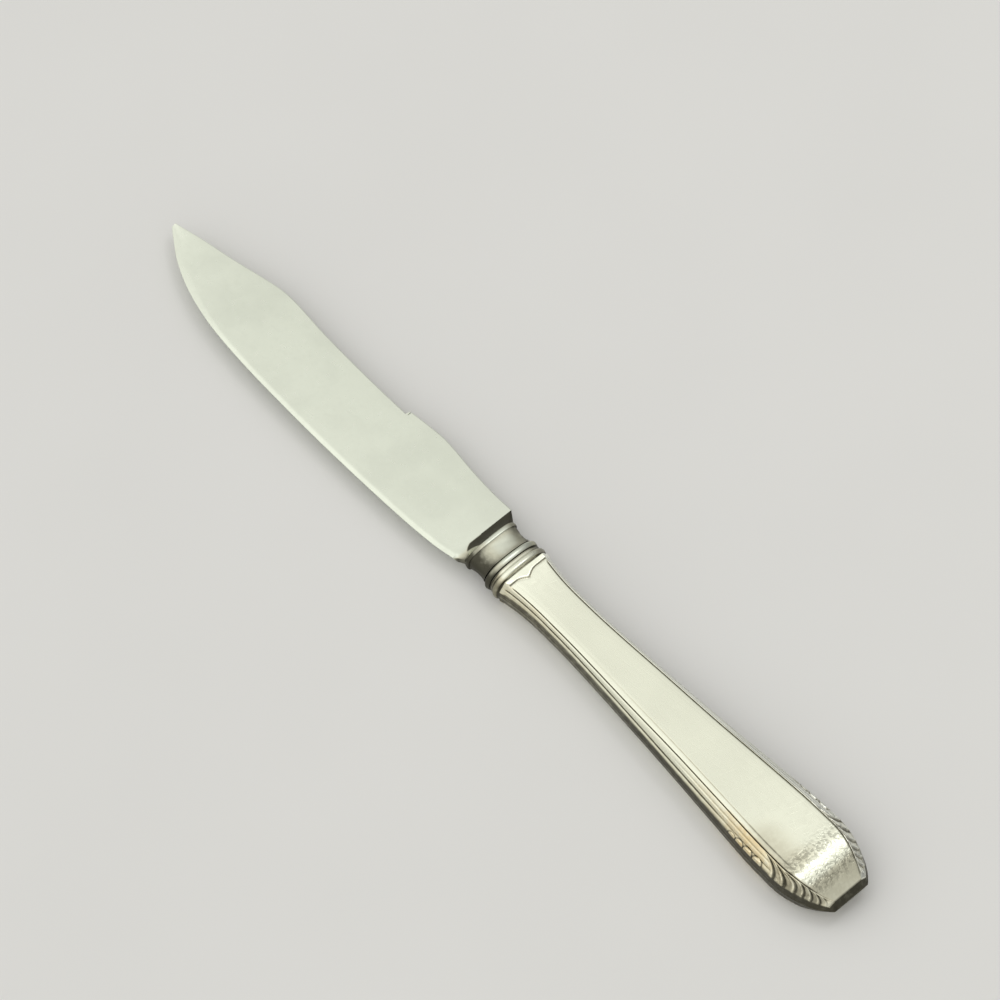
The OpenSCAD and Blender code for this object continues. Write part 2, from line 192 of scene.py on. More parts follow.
# Towards the cutting edge the cove starts and stops later: reach across, and share of its length
COVE_START_SHARES = [(0.4, 0), (0.52, 0.16), (0.63, 0.36), (0.75, 0.72), (1, 0.9)]
COVE_STOP_SHARES = [(0.38, 1.2), (0.44, 0.7), (0.52, 0.5), (0.6, 0.36), (1, 0.2)]

# How the handle widens from its waist to its widest, and the cavity's quarter section
SWELL_SHARES = [
    (0, 0), (0.1, 0.025), (0.22, 0.125), (0.48, 0.41), (0.76, 0.78), (0.9, 0.955), (1, 1),
]
CAVITY_SHARES = [(0, 1), (0.6, 1), (0.78, 0.93), (0.93, 0.75), (0.99, 0.55), (1, 0)]

# Places along the handle, as shares of its length from the joint
HANDLE_PLACES = {
    "waist_s": 0.145,  # the narrowest place
    "low_s": 0.18,  # the thinnest place
    "wall_low_s": 0.55,  # the side wall grows from here
    "level_s": 0.8,  # the panel is level from here
    "wall_high_s": 0.85,  # the side wall has its full height
    "widest_s": 0.862,
    "bend_s": 0.884,  # the panel bends down from here
    "facet_s": 0.945,  # the end facet is flat from here
}

# How much of an oval the end of the butt is, how the collar flares and how high the wall may be
CROWN_SHARE = 0.885
FLARE_POWER = 2.2
WALL_SHARE = 0.62

# The main groove as a share of the way over a side, at the butt and over the slim half
GROOVE_SHARE = 0.75
SLIM_GROOVE_SHARE = 0.785

# Squareness of the forging's sections
HEEL_POWER = 9
RIM_POWER = 3.2
NECK_POWER = 2.5
TANG_POWER = 12
NICK_SHARES = (0.35, 0.55, 0.75)


def mix(a, b, t):
    """The value at t of the way from a to b."""
    return a + (b - a) * t


def limit(t):
    """t kept between nought and one."""
    return np.clip(t, 0.0, 1.0)


def ease(t):
    """A smooth step from nought to one."""
    return (1 - np.cos(np.pi * limit(t))) / 2


def step(place, start, end):
    """A smooth step from nought at the start to one at the end, which may lie either way."""
    return ease((place - start) / (end - start))


def bell(distance, width):
    """A smooth bell, one at nought, that falls away over the width."""
    return np.exp(-((distance / width) ** 2))


def patches(place, rows):
    """Smooth bells along a line, added up: their place, width and height."""
    return sum(height * bell(place - middle, width) for middle, width, height in rows)


def oval(t, power):
    """Height of a rounded square of the given power over t, from -1 to 1."""
    return np.maximum(0.0, 1 - np.abs(t) ** power) ** (1 / power)


def hump(t):
    """A smooth rounded bump, one at nought and nothing beyond -1 and 1."""
    return np.maximum(0.0, 1 - np.asarray(t, float) ** 2) ** 1.5


def curve(knots, x):
    """The smooth curve through the knots at x, level outside them."""
    xs, ys = np.array(knots, float).T
    last = len(xs) - 1
    slopes = np.array([
        (ys[min(last, i + 1)] - ys[max(0, i - 1)]) / (xs[min(last, i + 1)] - xs[max(0, i - 1)])
        for i in range(last + 1)
    ])
    x = np.asarray(x, float)
    i = np.clip(np.searchsorted(xs, x, side="right") - 1, 0, last - 1)
    span = xs[i + 1] - xs[i]
    t = limit((x - xs[i]) / span)
    lift = ys[i + 1] - ys[i]
    bend = span * t * (1 - t) * ((1 - t) * slopes[i] - t * slopes[i + 1])
    return ys[i] + lift * t * t * (3 - 2 * t) + bend


def polyline(knots, x):
    """The straight lines from knot to knot at x, level outside them."""
    return np.interp(x, *np.array(knots).T)


def spaced(*spans):
    """Even places over spans that follow one another, each with its start, end and count."""
    return np.unique(np.concatenate([np.linspace(*span) for span in spans]))


def millimetres(group):
    """The lengths of a property group, in millimetres, by name."""
    return {name: getattr(group, name) / MM for name in group.__annotations__}


class Knife:
    """The knife's lines in millimetres: b runs from heel to tip, s from the joint to the butt."""

    def __init__(self, scene):
        self.__dict__.update(millimetres(scene.fish_knife_blade))
        self.__dict__.update(millimetres(scene.fish_knife_handle))
        shell_low, shell_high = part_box("upper_handle_shell")
        self.joint_x = shell_high.x / MM
        self.handle_l = length_mm("upper_handle_shell", 0)
        self.joint_t = length_mm("joint_solder", 0)
        self.mid_z = shell_low.z / MM
        self.heel_x = self.joint_x + self.bolster_l
        self.blade_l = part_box("blade")[1].x / MM - self.heel_x
        for name, share in HANDLE_PLACES.items():
            setattr(self, name, share * self.handle_l)
        self.stop_s = self.handle_l - self.end_set
        self.notch_b = NOTCH_SHARE * self.blade_l
        self.cavity_end_s = self.stop_s - 2 * self.end_set
        # the bolster's forms meet here, and the rim falls to a foot on both of its sides
        self.bead_x = self.joint_x + self.joint_t + self.bead_l
        self.rim_x = self.heel_x - self.cove_l
        self.neck_x = self.rim_x - self.rim_l
        self.rim_drop = (self.rim_t - self.neck_t) / 2
        self.foot_t = self.rim_t - self.rim_drop
        self.foot_w = self.rim_w - self.rim_drop

    # Blade outline, as distances from the handle's axis
    def back_line(self, b, step_b, step_l):
        """Distance of the back from the axis, with a step of a length that ends at a place."""
        share = np.asarray(b, float) / self.blade_l
        base = self.blade_w - self.belly_out
        front = base + (curve(FRONT_BACK_SHARES, share) - FRONT_BACK_SHARES[0][1]) * self.blade_w
        rear = base + (curve(REAR_BACK_SHARES, share) - REAR_BACK_SHARES[-1][1]) * self.blade_w
        return mix(front, rear + self.notch_step, step(b, step_b, step_b - step_l))

    def back_y(self, b):
        """Distance of the back from the axis, with the step and the small horn of the notch."""
        horn_l, horn_h, horn_set = 0.3, 1.1, 0.12
        step_l, step_set = 0.2, 0.38
        horn = horn_h * hump((b - self.notch_b + horn_set) / horn_l)
        return self.back_line(b, self.notch_b - step_set, step_l) + horn

    def edge_y(self, b):
        """Distance of the cutting edge from the axis."""
        return self.belly_out * curve(EDGE_SHARES, np.asarray(b, float) / self.blade_l)

    # Handle outline
    def seam_y(self, s):
        """Half the width of the handle over the seam."""
        s = np.asarray(s, float)
        rise = limit((self.waist_s - s) / (self.waist_s - self.collar_l)) ** FLARE_POWER
        flare = mix(self.waist_w, self.flare_w, rise) / 2
        swell = curve(SWELL_SHARES, (s - self.waist_s) / (self.widest_s - self.waist_s))
        reach = (self.handle_l - self.widest_s) / CROWN_SHARE
        past = np.maximum(s, self.widest_s) - self.widest_s
        drop = (1 - oval(past / reach, 2)) / (1 - oval(CROWN_SHARE, 2))
        crown = self.butt_w / 2 - (self.butt_w - self.end_w) / 2 * drop
        body = mix(self.waist_w, self.butt_w, swell) / 2
        return np.where(s < self.waist_s, flare, np.where(s > self.widest_s, crown, body))

    def panel_z(self, s):
        """Half the thickness of the handle over the panel, down the end facet and the end wall."""
        s = np.asarray(s, float)
        slope = (self.butt_t - self.end_t) / 2 / (self.stop_s - (self.bend_s + self.facet_s) / 2)
        bend = slope * np.maximum(0, np.minimum(s, self.facet_s) - self.bend_s) ** 2
        rounded = self.butt_t / 2 - bend / (self.facet_s - self.bend_s) / 2
        facet = self.end_t / 2 + (self.stop_s - s) * slope
        end = mix(self.end_t / 2, self.edge_flat, limit((s - self.stop_s) / self.end_set))
        fall = limit((self.low_s - s) / (self.low_s - self.collar_l)) ** FLARE_POWER
        front = mix(self.waist_t, self.collar_t - self.groove_d * 2, fall) / 2
        body = mix(self.waist_t, self.butt_t, step(s, self.low_s, self.level_s)) / 2
        tail = np.where(s > self.stop_s, end, np.where(s > self.facet_s, facet, rounded))
        return np.where(s < self.low_s, front, np.where(s < self.level_s, body, tail))

    def wall_z(self, s):
        """Half the height of the side wall."""
        grown = step(s, self.wall_low_s, self.wall_high_s)
        half_h = mix(self.wall_waist_h, self.wall_butt_h, grown) / 2
        return np.minimum(half_h, self.panel_z(s) * WALL_SHARE)

    def top_y(self, s):
        """Distance of the top of the side wall from the axis."""
        tuck = limit((s - self.bend_s) / (self.handle_l - self.bend_s)) * self.end_set / 2
        return self.seam_y(s) - self.wall_lean - tuck

    def cove_t(self, t):
        """Thickness of the cove from the heel to the rim's foot, a little hollow."""
        hollow = 0.12
        return mix(self.back_t, self.foot_t, t - hollow * np.sin(math.pi * t))

    def butt_fade(self, s):
        """One over the handle, falling to nought where the mouldings end before the end wall."""
        return step(s, self.stop_s - 0.2, self.stop_s - 1.6)

    def cavity_w(self, s):
        """Half the width of the cavity inside the shells."""
        mouth = 2 * self.collar_l
        wall = mix(2 * self.shell_wall, self.shell_wall + self.wall_lean, limit(s / mouth / 2))
        return self.seam_y(np.maximum(s, mouth)) - wall

    def cavity_t(self, s):
        """Half the thickness of the cavity inside the shells."""
        return self.panel_z(np.maximum(s, 2 * self.collar_l)) - self.shell_wall - self.groove_d


# Making a piece from its sections
def points_grid(name, points):
    """A grid with a vertex at each point of rows by columns, and the vertices' numbers."""
    rows, columns = points.shape[:2]
    bpy.ops.object.select_all(action="DESELECT")
    bpy.ops.mesh.primitive_grid_add(x_subdivisions=columns - 1, y_subdivisions=rows - 1, size=2)
    piece = bpy.context.object
    piece.name = piece.data.name = name
    places = np.empty(len(piece.data.vertices) * 3)
    piece.data.vertices.foreach_get("co", places)
    places = (places.reshape(-1, 3) + 1) / 2
    row = np.rint(places[:, 1] * (rows - 1)).astype(int)
    column = np.rint(places[:, 0] * (columns - 1)).astype(int)
    if len(row) != rows * columns:
        raise RuntimeError(f"{name}: the grid has {len(row)} vertices and needs {rows * columns}")
    piece.data.vertices.foreach_set("co", np.clip(points[row, column] * MM, *CAD_BOUNDS).ravel())
    numbers = np.empty((rows, columns), int)
    numbers[row, column] = np.arange(len(row))
    return piece, numbers


def keep_layers(piece, numbers, **amounts):
    """Keeps amounts at each vertex, from nought to one, as attributes of the mesh."""
    for name, amount in amounts.items():
        values = np.zeros(len(piece.data.vertices), np.float32)
        values[numbers.ravel()] = limit(amount).ravel()
        layer = piece.data.attributes.new(name, "FLOAT", "POINT")
        layer.data.foreach_set("value", values)


def close_and_smooth(piece, angle):
    """Merges doubled vertices, closes the ends, turns faces outwards and smooths flat angles."""
    bpy.ops.object.select_all(action="DESELECT")
    piece.select_set(True)
    bpy.context.view_layer.objects.active = piece
    bpy.ops.object.mode_set(mode="EDIT")
    bpy.ops.mesh.select_all(action="SELECT")
    bpy.ops.mesh.remove_doubles(threshold=0.002 * MM)
    bpy.ops.mesh.fill_holes(sides=0)
    bpy.ops.mesh.select_all(action="SELECT")
    bpy.ops.mesh.normals_make_consistent(inside=False)
    bpy.ops.object.mode_set(mode="OBJECT")
    bpy.ops.object.shade_smooth_by_angle(angle=math.radians(angle))


def hand_over(piece, material, slot, *nodes):
    """Gives the piece its material, hangs it on the body and hides the solids it stands for."""
    piece.data.materials.clear()
    piece.data.materials.append(material)
    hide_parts(*nodes)
    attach(piece, BODY)


def loop_of(x, y, z, mid_z):
    """Rows of closed loops from rows of half loops: over the middle plane, then back below."""
    x = np.broadcast_to(x, y.shape)
    lower = slice(-2, None, -1)
    return np.stack([
        np.concatenate([x, x[:, lower]], 1),
        np.concatenate([y, y[:, lower]], 1),
        mid_z + np.concatenate([z, -z[:, lower]], 1),
    ], -1)


# The forging
BACK_STEPS = 4
CORNER_STEPS = 5
FACE_STEPS = 58
GRIND_STEPS = 9
EDGE_STEPS = 5
HALF_STEPS = BACK_STEPS + CORNER_STEPS + FACE_STEPS + GRIND_STEPS + EDGE_STEPS


def blade_stations(knife):
    """Distances of the blade's sections from the heel, close together at the notch and the tip."""
    near_heel, near_tip = 6, 0.9 * knife.blade_l
    near_notch = (knife.notch_b - 2, knife.notch_b + 3)
    return spaced(
        (0, near_heel, 14), (near_heel, near_notch[0], 40), (*near_notch, 100),
        (near_notch[1], near_tip, 90), (near_tip, knife.blade_l, 60),
    )


def blade_rows(knife):
    """Half loops of the blade from the heel to the tip: x, y, z and tarnish."""
    b = blade_stations(knife)[:, None]
    back = -knife.back_y(b)
    edge = np.maximum(knife.edge_y(b), back + knife.edge_flat)
    thin = b / knife.blade_l
    back_half = mix(knife.back_t, knife.tip_t, thin) / 2
    face_half = mix(knife.face_t, knife.face_t * knife.tip_t / knife.back_t, thin) / 2
    # the ground edge widens towards the tip
    grind = knife.grind_w * (1.15 + 1.3 * step(thin, 0.7, 0.92))
    grind = np.minimum(grind, (edge - back) / 2.6)
    corner = np.minimum(0.12 * back_half, (edge - back) / 8)
    turn = np.linspace(0, math.pi / 2, CORNER_STEPS)
    across = np.linspace(0, 1, FACE_STEPS + 1)[1:] ** 1.15
    down = np.linspace(0, 1, GRIND_STEPS + 1)[1:]
    last = np.linspace(0, math.pi / 2, EDGE_STEPS + 1)[1:]
    flat = knife.edge_flat / 2
    face_y = mix(back + corner, edge - grind, across)
    # the faces are ground as if the back ran on without the notch
    level = -knife.back_line(b, knife.notch_b + 5, 10)
    thinner = limit((face_y - level) / (edge - grind - level)) ** 1.5
    y = np.concatenate([
        np.repeat(back, BACK_STEPS, 1),
        back + corner * (1 - np.cos(turn)),
        face_y,
        mix(edge - grind, edge - flat, down),
        edge - flat + flat * np.sin(last),
    ], 1)
    z = np.concatenate([
        (back_half - corner) * np.linspace(0, 1, BACK_STEPS + 1)[:-1],
        back_half - corner + corner * np.sin(turn),
        mix(back_half, face_half, thinner),
        mix(face_half, flat, down**1.25),
        flat * np.cos(last) + 0 * edge,
    ], 1)
    return knife.heel_x + b, y, z, np.zeros_like(y)


def rounded_rows(x, half_t, back, edge, power):
    """Half loops of rounded squares, by place, half thickness, two reaches and squareness."""
    x, half_t, back, edge, power = (v[:, None] for v in (x, half_t, back, edge, power))
    around = np.linspace(-1, 1, HALF_STEPS)[None, :]
    # even steps over the flat side up to the corner, then even steps down to the middle plane
    on_side = 0.78
    corner = 0.5 ** (1 / power)
    reach = np.minimum(np.abs(around) / on_side, 1) * corner
    rise = np.minimum((1 - np.abs(around)) / (1 - on_side), 1) * corner
    over = np.abs(around) < on_side
    share = np.where(over, reach, (1 - rise**power) ** (1 / power))
    height = np.where(over, (1 - reach**power) ** (1 / power), rise)
    return x, np.where(around < 0, -back, edge) * share, half_t * height


def half_round(t):
    """Height of a half circle over t, nought at both ends."""
    return math.sqrt(max(0, 1 - (2 * t - 1) ** 2))


def section(x, thick, width, power, tarnish, edge_width=None):
    """A rounded section: place, half thickness, reaches to back and edge, squareness, tarnish and
    painted shade.
    """
    return x, thick / 2, width / 2, (edge_width or width) / 2, power, tarnish


def tang_sections(knife):
    """Sections of the tang from its end to the bolster, with its nicks."""
    tarnish = 0.6
    nicks = [share * knife.tang_l for share in NICK_SHARES]
    corners = [nick + side * knife.nick_d for nick in nicks for side in (-1, 0, 1)]
    for s in sorted({0.0, knife.tang_l, *corners}, reverse=True):
        cut = max(0, knife.nick_d - min(abs(s - nick) for nick in nicks))
        width = mix(knife.tang_w, knife.tang_end_w, s / knife.tang_l) - 2 * cut
        yield section(knife.joint_x - s, knife.tang_t, width, TANG_POWER, tarnish)
    yield section(knife.bead_x - knife.bead_l, knife.tang_t, knife.tang_w, TANG_POWER, tarnish)


def bead_sections(knife):
    """Sections of the bead, from the joint to the neck."""
    for t in np.linspace(1, 0, 30):
        shy = 1 - half_round(t)
        drop = mix(knife.bead_t - knife.neck_t, knife.joint_set * 2, t) * shy
        x = knife.bead_x - t * knife.bead_l
        # its flanks, where it falls away, get painted shade
        yield section(x, knife.bead_t - drop, knife.bead_w - drop, NECK_POWER, 0.9 * shy**2)


def neck_sections(knife):
    """Sections of the waisted neck, from the bead to the rim."""
    sizes = ((knife.neck_t, knife.rim_t, knife.bead_t), (knife.neck_w, knife.rim_w, knife.bead_w))
    for t in np.linspace(1, 0, 40)[1:]:
        to_rim, to_bead = (1 - t) ** 3 / 2, t**4 / 2
        thick, width = (
            neck + to_rim * (rim - neck) + to_bead * (bead - neck) for neck, rim, bead in sizes
        )
        power = mix(RIM_POWER, NECK_POWER, float(ease(2 * t)))
        # an even tarnish over the neck, with painted shade where it curves into the bead and the
        # rim
        tarnish = 0.16 + 0.25 * t**6 + 0.3 * (1 - t) ** 9
        yield section(mix(knife.neck_x, knife.bead_x, t), thick, width, power, tarnish)


def rim_sections(knife):
    """Sections of the rounded rim, from the neck to the cove."""
    for t in np.linspace(1, 0, 22)[1:]:
        drop = knife.rim_drop * (1 - half_round(t))
        x = knife.rim_x - t * knife.rim_l
        yield section(x, knife.rim_t - drop, knife.rim_w - drop, RIM_POWER, 0.1)


def cove_sections(knife):
    """Sections of the cove, from the rim to the heel of the blade."""
    back_w, edge_w = 2 * float(knife.back_y(0)), 2 * float(knife.edge_y(0))
    for t in np.linspace(1, 0.004, 30)[1:]:
        # the cove is painted dark all over, as painted shade
        yield section(
            knife.heel_x - t * knife.cove_l,
            knife.cove_t(t),
            mix(back_w, knife.foot_w, t),
            mix(HEEL_POWER, RIM_POWER, t),
            1.1 * float(step(t, 1.1, 0.8)),
            edge_width=mix(edge_w, knife.foot_w, t**1.25),
        )


def edge_side_cove(knife, x, y, z, height, reach):
    """Heights of the cove on the cutting edge's side, and its painted shade.

    It begins later there, and below it the blade's flat side runs on to the corner.
    """
    gone = limit((knife.heel_x - x) / knife.cove_l)
    start, stop = polyline(COVE_START_SHARES, reach), polyline(COVE_STOP_SHARES, reach)
    shallow = knife.cove_t(limit((gone - start) / (1 - start))) / knife.cove_t(gone)
    begun, ended = step(gone, start, start + 0.12), step(gone, stop, stop + 0.25)
    # painted shade: dark in the cove and on its wall, and fading over the flat's flank towards the
    # corner
    on_wall = step(z / height, 0.85, 0.65) * step(gone, -0.05, 0.45)
    tarnish = begun * mix(1.1, 0.3, ended) + 0.95 * (1 - begun) * gone**1.3
    ground = mix(0.15, 1, limit((y.max(1, keepdims=True) - y) / knife.grind_w) ** 0.8)
    return z * shallow * mix(ground, 1, step(gone, 0, 0.45)), mix(tarnish, 0.8, on_wall)


def bolster_rows(knife):
    """Half loops from the tang's end over the tang, bead, neck, rim and cove to the heel."""
    sections = np.array([
        *tang_sections(knife), *bead_sections(knife), *neck_sections(knife),
        *rim_sections(knife), *cove_sections(knife),
    ])
    x, y, z = rounded_rows(*sections.T[:5])
    # hand finishing leaves slight waves on the neck
    wave = np.sin(2.3 * x + 0.9 * y + 0.7) * np.sin(1.1 * x - 1.7 * z + 0.4)
    wave = wave + 0.6 * np.sin(3.7 * x - 1.3 * y + 2)
    swell = 1 + 0.003 * wave * ((x > knife.bead_x + 0.2) & (x < knife.neck_x - 0.2))
    # painted shade darkens both sides towards their edges, the back's side less than the cutting
    # edge's
    reach = y / np.abs(y).max(1, keepdims=True)
    painted_side_shade = np.where(reach > 0, 1.05 * np.abs(reach) ** 1.6, 0.7 * reach**4)
    tarnish = sections[:, 5:] + painted_side_shade * (x > knife.bead_x - knife.bead_l)
    in_cove = (x > knife.rim_x) * (reach > 0)
    cove_z, cove_tarnish = edge_side_cove(knife, x, y, z, sections[:, 1:2], reach)
    z = np.where(in_cove, cove_z, z)
    return x, y * swell, z * swell, np.where(in_cove, cove_tarnish, tarnish)


def make_blade(scene):
    """The forging: blade, bolster, bead and tang in one closed piece."""
    knife = Knife(scene)
    parts = [bolster_rows(knife), blade_rows(knife)]
    x, y, z = (np.concatenate([np.broadcast_to(p[i], p[1].shape) for p in parts]) for i in range(3))
    tarnish = np.concatenate([p[3] for p in parts])
    piece, numbers = points_grid("forged_blade", loop_of(x, y, z, knife.mid_z))
    keep_layers(piece, numbers, tarnish=np.concatenate([tarnish, tarnish[:, -2::-1]], 1))
    close_and_smooth(piece, 32)
    hand_over(piece, blade_plate(scene.fish_knife_finishes), "plated_blade", "blade")
    return piece


# The handle's shells: t runs over a side from the middle of the panel to the side wall, with
# columns close together at the crease and the groove, and k runs down the wall to the seam
T_STEPS = spaced(
    (0, 0.53, 10), (0.53, 0.64, 12), (0.64, 0.735, 7),
    (0.735, 0.765, 8), (0.765, 0.8, 6), (0.8, 1, 21),
)
K_STEPS = np.linspace(0, 1, 8)[1:]

# The collar's bead along the handle, how far the flank and the groove lie below its crown, and
# the share of the collar's half width that lies over the sides
COLLAR_BEAD_S = 1.5
COLLAR_BEAD_HALF_L = 0.68
FLANK_DROP = 0.32
FLANK_EDGE_DROP = 0.1
FLANK_L = 0.85
COLLAR_GROOVE_DROP = 0.44
COLLAR_T_SHARE = 0.955
COLLAR_END_S = 2.45

# The groove between the reeds: distance from the joint, and share of the way down the side
GROOVE_2_SHARES = [(4, 0.54), (23, 0.61), (36, 0.65), (50, 0.72), (98, 0.72)]
# Where the lobes' arcs end on the main groove
LOBE_ENDS = [85.2, 87.9, 90.4, 92.1, 93.7, 95.2]
# The arches' distance from the joint, half length, reach up the side and height
ARCHES = [
    (73.1, 0.95, 0.17, 0.08), (75.3, 1.05, 0.23, 0.14),
    (77.8, 1.15, 0.28, 0.2), (80.6, 1.2, 0.3, 0.22),
]
# Dents in the panel: distance from the joint, place across, radius and depth
DENTS = [
    (46.7, -1.4, 1.1, 0.02), (47.0, 1.1, 0.9, 0.015),
    (77.0, 1.5, 1.7, 0.025), (24.1, 0.2, 1.3, 0.012),
]
# How yellow the plate is along the handle
YELLOW_ALONG = [
    (4, 0.3), (12, 0.3), (26, 0.05), (55, 0.08), (68, 0.35), (76, 0.85), (82, 0.6), (92, 0.2),
]
# Bells of tarnish and of pits: distance from the joint, width and amount
COLLAR_TARNISH = [(2.4, 0.25, 0.75), (0.05, 0.25, 0.5), (0.72, 0.2, 0.3)]
PITTED = [(86.9, 1.9, 1.2), (92.2, 2.2, 1)]
# Faint lines along the wall: share of the way down to the seam, width and strength
WALL_LINES = [(0.36, 0.09, 1), (0.72, 0.09, 1)]
WALL_LINE_D = 0.035
# Painted shade with tarnish on the end wall, and tarnish inside the handle
END_SHADE_AND_TARNISH = 0.88
LINING_TARNISH = 0.5


def bracket_s(y):
    """The line where the raised border stops: a bracket whose point runs towards the butt."""
    arm_s, point_l, point_y, reach = 3.88, 1.1, 0.45, 2.4
    return arm_s + point_l * limit(1 - np.abs(y - point_y) / reach) ** 1.5


def groove_share(s):
    """The main groove's share of the top: further out over the slim half of the handle."""
    return mix(SLIM_GROOVE_SHARE, GROOVE_SHARE, step(s, 35, 57))


def low_share(t):
    """The share of the way down the side, from the main groove to the wall."""
    return np.maximum(0, (t - GROOVE_SHARE) / (1 - GROOVE_SHARE))


def groove_relief(knife, s, t, slope_l, wear, dirt_and_shade):
    """Height and tarnish of the main groove, height of the worn band and its crease inside it, and
    a painted shade line along the crease.
    """
    low = low_share(t)
    inside = (GROOVE_SHARE - t) * knife.top_y(s)
    across = np.where(low > 0, low * slope_l, inside)
    fade = knife.butt_fade(s) * (1 - 0.7 * step(s, 90.5, 94.5))
    groove = bell(across, 0.15) * step(s, 4.2, 5.4) * fade
    crease = bell(inside - knife.crease_l, 0.15) * wear
    band = limit(1 - inside / knife.crease_l) ** 1.1 * (low == 0) * wear
    relief = -knife.groove_d * groove - 0.03 * crease - knife.band_d * band
    # tarnish in the groove, and a painted shade line along the crease
    return relief, 0.95 * groove * dirt_and_shade + (0.12 + 0.3 * step(s, 18, 60)) * crease


def reed_relief(knife, s, low, slope_l):
    """Height and tarnish of the reeds: two above a groove, one below it."""
    share = polyline(GROOVE_2_SHARES, s)
    upper = hump((low / share - 0.5) * 2) ** 0.5
    lower = hump((low - share) / (1 - share) * 2 - 1) ** 0.5
    split = bell((low - 0.37) * slope_l, 0.12) * step(s, 50, 66)
    groove = bell((low - share) * slope_l, 0.14) * (1 - 0.6 * step(s, 62, 71))
    foot = bell((low - 0.985) * slope_l, 0.1)
    relief = knife.reed_h * upper + knife.low_reed_h * lower
    relief = relief - knife.reed_groove_d * (split + groove + foot / 2)
    return relief, 0.48 * split + groove + 0.5 * foot + 0.22 * (low > share)


def add_arches(knife, s, low, relief, tarnish):
    """Adds the small arches along the foot of the reeds, each bright in a dark moat."""
    for place, half_l, reach, height in ARCHES:
        away = ((s - place) / half_l) ** 2 + ((1 - low) / reach) ** 2
        dome = np.sqrt(np.maximum(0, 1 - away))
        moat = bell(np.sqrt(away) - 1.12, 0.16)
        relief = relief + (height * dome - knife.moat_d * moat) * (low > 0)
        tarnish = tarnish * (1 - 0.95 * (dome > 0)) + 0.5 * moat * (low > 0)
    return relief, tarnish


def lobe_relief(s, low, arc_end):
    """Height of the lobes, which overlap like scales, the tarnish in their cuts, and painted shade
    over their bodies.
    """
    ends = np.array([LOBE_ENDS[0] - 3, *LOBE_ENDS, LOBE_ENDS[-1] + 1.4])
    i = np.clip(np.searchsorted(ends, arc_end), 1, len(ends) - 1)
    over = limit((arc_end - ends[i - 1]) / (ends[i] - ends[i - 1]))
    body = mix(-0.6, -0.2, step(over, 0, 0.35)) + 0.5 * step(over, 0.5, 0.8)
    rise = mix(body, -0.6, step(over, 0.86, 1)) * step(low, 0.04, 0.24)
    cuts = 0.85 * (bell(over, 0.16) + bell(over - 1, 0.1)) * mix(1, 0.65, step(s, 87, 92))
    # painted shade: each lobe's body is darker where it dips, and darker towards the wall near the
    # butt
    shade = 0.36 * step(over, 0.82, 0.6) + 0.06 + 0.2 * low * step(s, 85, 90)
    return rise, cuts, shade


def side_relief(knife, s, t, slope_l, sign):
    """Height of the mouldings over the plain side, in millimetres, and the tarnish and painted
    shade on them.
    """
    low = low_share(t)
    # the back's side is worn smoother than the edge's, and its tarnish and painted shade are laid
    # on weaker, which paints that side lighter
    wear, dirt_and_shade, cut_dirt_and_shade = (1, 1, 1) if sign > 0 else (0.25, 0.35, 0.7)
    start = step(s, 3, 4.2)
    wear = wear * start * step(s, 90, 82)
    # the arc of a lobe through a point ends on the main groove at this distance from the joint
    arc_l = mix(7.4, 3, step(s, 85.5, 91.5))
    arc_end = s + arc_l * (1 - np.sqrt(low * (2 - low)))
    lobed = step(arc_end, LOBE_ENDS[0] - 1.6, LOBE_ENDS[0] - 0.4) * (low > 0)
    reeded = start * (1 - lobed) * (low > 0)
    relief, tarnish = groove_relief(knife, s, t, slope_l, wear, (1 + cut_dirt_and_shade) / 2)
    reeds, dull = reed_relief(knife, s, low, slope_l)
    relief, tarnish = relief + reeds * reeded, tarnish + dirt_and_shade * dull * reeded
    relief, tarnish = add_arches(knife, s, low, relief, tarnish)
    rise, cuts, shade = lobe_relief(s, low, arc_end)
    relief = relief + knife.lobe_h * rise * lobed * knife.butt_fade(s)
    # all of it flattens out before the wall, so the handle's outline stays smooth
    relief = relief * mix(0.2, 1, step(low, 1, 0.84))
    begun = step(low, 0.02, 0.2) * knife.butt_fade(s)
    return relief, tarnish + (cut_dirt_and_shade * cuts + dirt_and_shade * shade) * lobed * begun


def pitting(s):
    """How far the plate is pitted, on both sides of the bend before the butt."""
    return limit(patches(s, PITTED))


def yellowing(s, t):
    """How far the plate is yellowed over the cutting edge's side, most of all before the lobes."""
    return polyline(YELLOW_ALONG, s)[:, None] * step(t, 0.68, 0.76)[None, :]


def panel_relief(knife, s, y, upper):
    """Height of the bracketed border and of the dents over the panel, and the tarnish and painted
    shade there.
    """
    line = bracket_s(y)
    relief = knife.border_h * step(s - line, 0.14, -0.14) - 0.06 * bell(s - line - 0.2, 0.14)
    tarnish = 0.6 * bell(s - line - 0.1, 0.17)
    # the pits darken the plate, and the end facet past the bend gets painted shade with some
    # tarnish
    tarnish = tarnish + 0.14 * pitting(s) + 0.3 * step(s, 91, 93)
    # before the bend the panel dulls towards the cutting edge's side
    tarnish = tarnish + 0.2 * step(s, 70, 80) * step(s, 90, 87) * step(y, -4, 4)
    tarnish = tarnish + 0.13 * step(s, 67, 81) * step(s, 87.5, 84.5) * step(y, 0, 7)
    if upper:
        for place, side, radius, depth in DENTS:
            relief = relief - depth * bell(np.hypot(s - place, y - side), radius)
    return relief, tarnish


